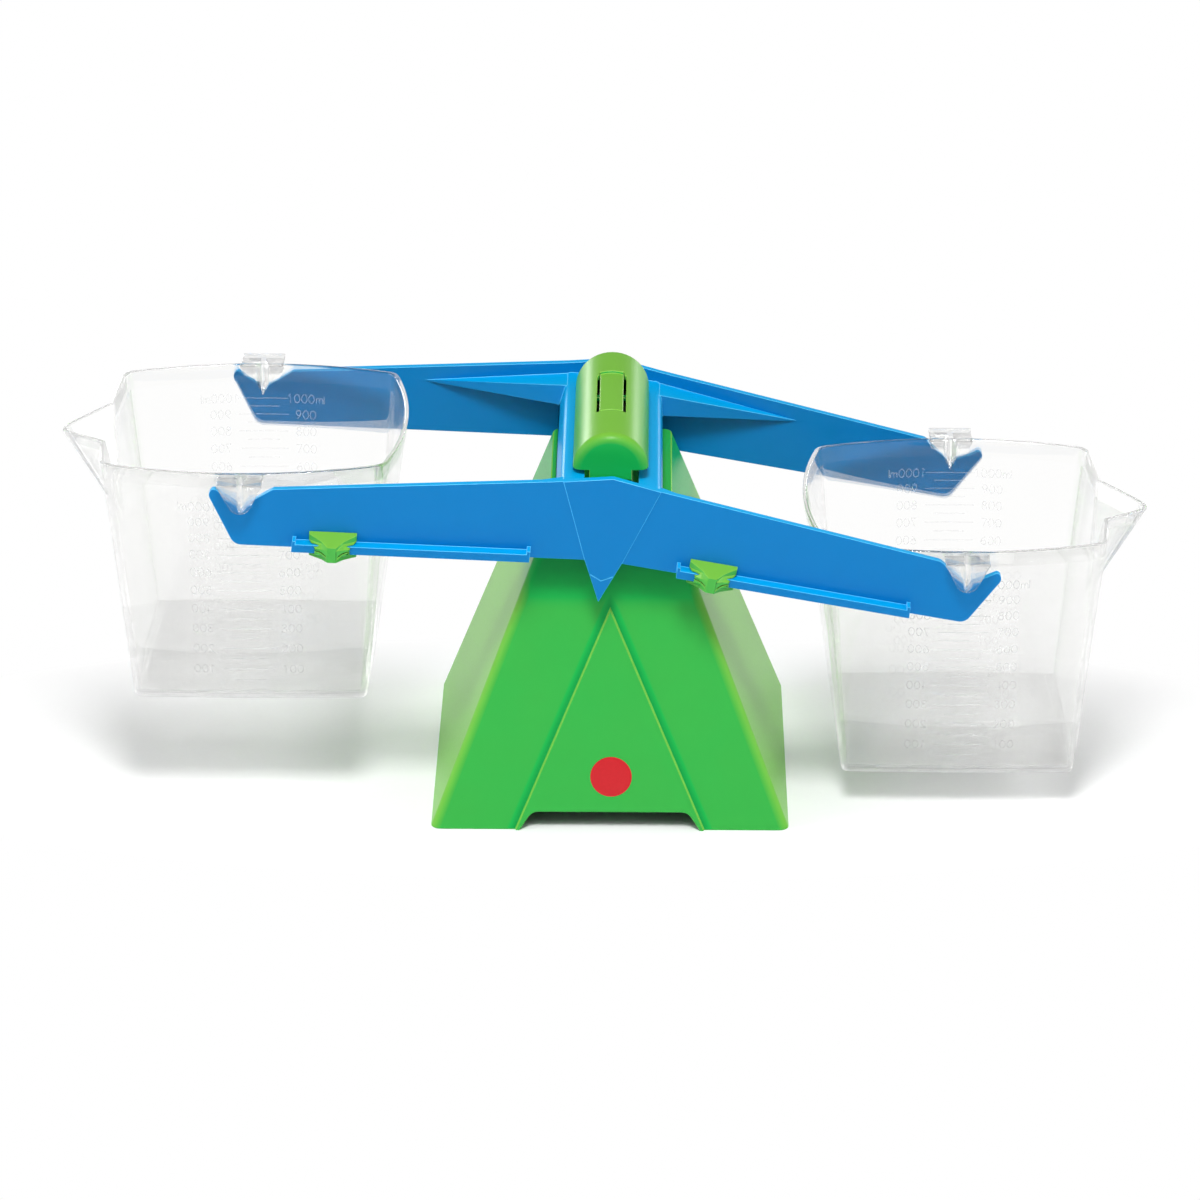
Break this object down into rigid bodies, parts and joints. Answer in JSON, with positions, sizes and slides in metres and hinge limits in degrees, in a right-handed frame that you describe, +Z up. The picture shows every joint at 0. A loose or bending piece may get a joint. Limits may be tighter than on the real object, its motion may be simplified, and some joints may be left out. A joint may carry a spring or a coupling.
{
  "type": "bucket balance",
  "caption": "Toy beam balance: green hollow stand, blue double beam rocking on an axle, clear graduated pouring buckets hung at its ends, and sliding clips that set its zero.",
  "frame": {"origin": "middle of the stand's foot, on the table", "axes": "+X to the right as the pointer's side is seen, along the beam when level; -Y towards the pointer's side, so +Y runs along the axle to the rear; +Z up"},
  "size_m": [0.4698, 0.1492, 0.1747],
  "materials": {
    "stand_green": "moulded, softly glossy",
    "lime_green": "moulded, softly glossy",
    "beam_blue": "moulded, softly glossy",
    "clear_plastic": "clear, polished",
    "bearing_plastic": "plain moulded",
    "axle_steel": "drawn rod"
  },
  "bodies": {
    "stand": {"base_shell": "stand_green", "bearing_front": "bearing_plastic", "bearing_rear": "bearing_plastic", "cap": "lime_green"},
    "latch": {"cap_latch": "lime_green"},
    "beam": {"beam": "beam_blue", "pivot_axle": "axle_steel"},
    "compensator_left": {"compensator_left": "lime_green"},
    "compensator_right": {"compensator_right": "lime_green"},
    "bucket_left": {"bucket_left": "clear_plastic"},
    "bucket_right": {"bucket_right": "clear_plastic"}
  },
  "joints": [
    {"name": "beam_tilt", "type": "hinge", "parent": "stand", "child": "beam", "pos_m": [0, 0, 0.1498], "axis": [0, 1, 0], "range_deg": [-13.95, 1.05]},
    {"name": "bucket_left_swing", "type": "hinge", "parent": "beam", "child": "bucket_left", "pos_m": [-0.15452, 0, 0.14675], "axis": [0, 1, 0], "range_deg": [-4, 16.9]},
    {"name": "bucket_right_swing", "type": "hinge", "parent": "beam", "child": "bucket_right", "pos_m": [0.14994, 0, 0.11231], "axis": [0, 1, 0], "range_deg": [-4, 16.9]},
    {"name": "compensator_left_slide", "type": "slide", "parent": "beam", "child": "compensator_left", "axis": [0.9991, 0, -0.0433], "range_m": [-0.0052, 0.0704]},
    {"name": "compensator_right_slide", "type": "slide", "parent": "beam", "child": "compensator_right", "axis": [0.9835, 0, -0.1809], "range_m": [-0.0027, 0.0728]},
    {"name": "latch_press", "type": "hinge", "parent": "stand", "child": "latch", "pos_m": [0, -0.02, 0.1726], "axis": [-1, 0, 0], "range_deg": [0, 4], "stiffness_Nm_per_rad": 0.05}
  ]
}
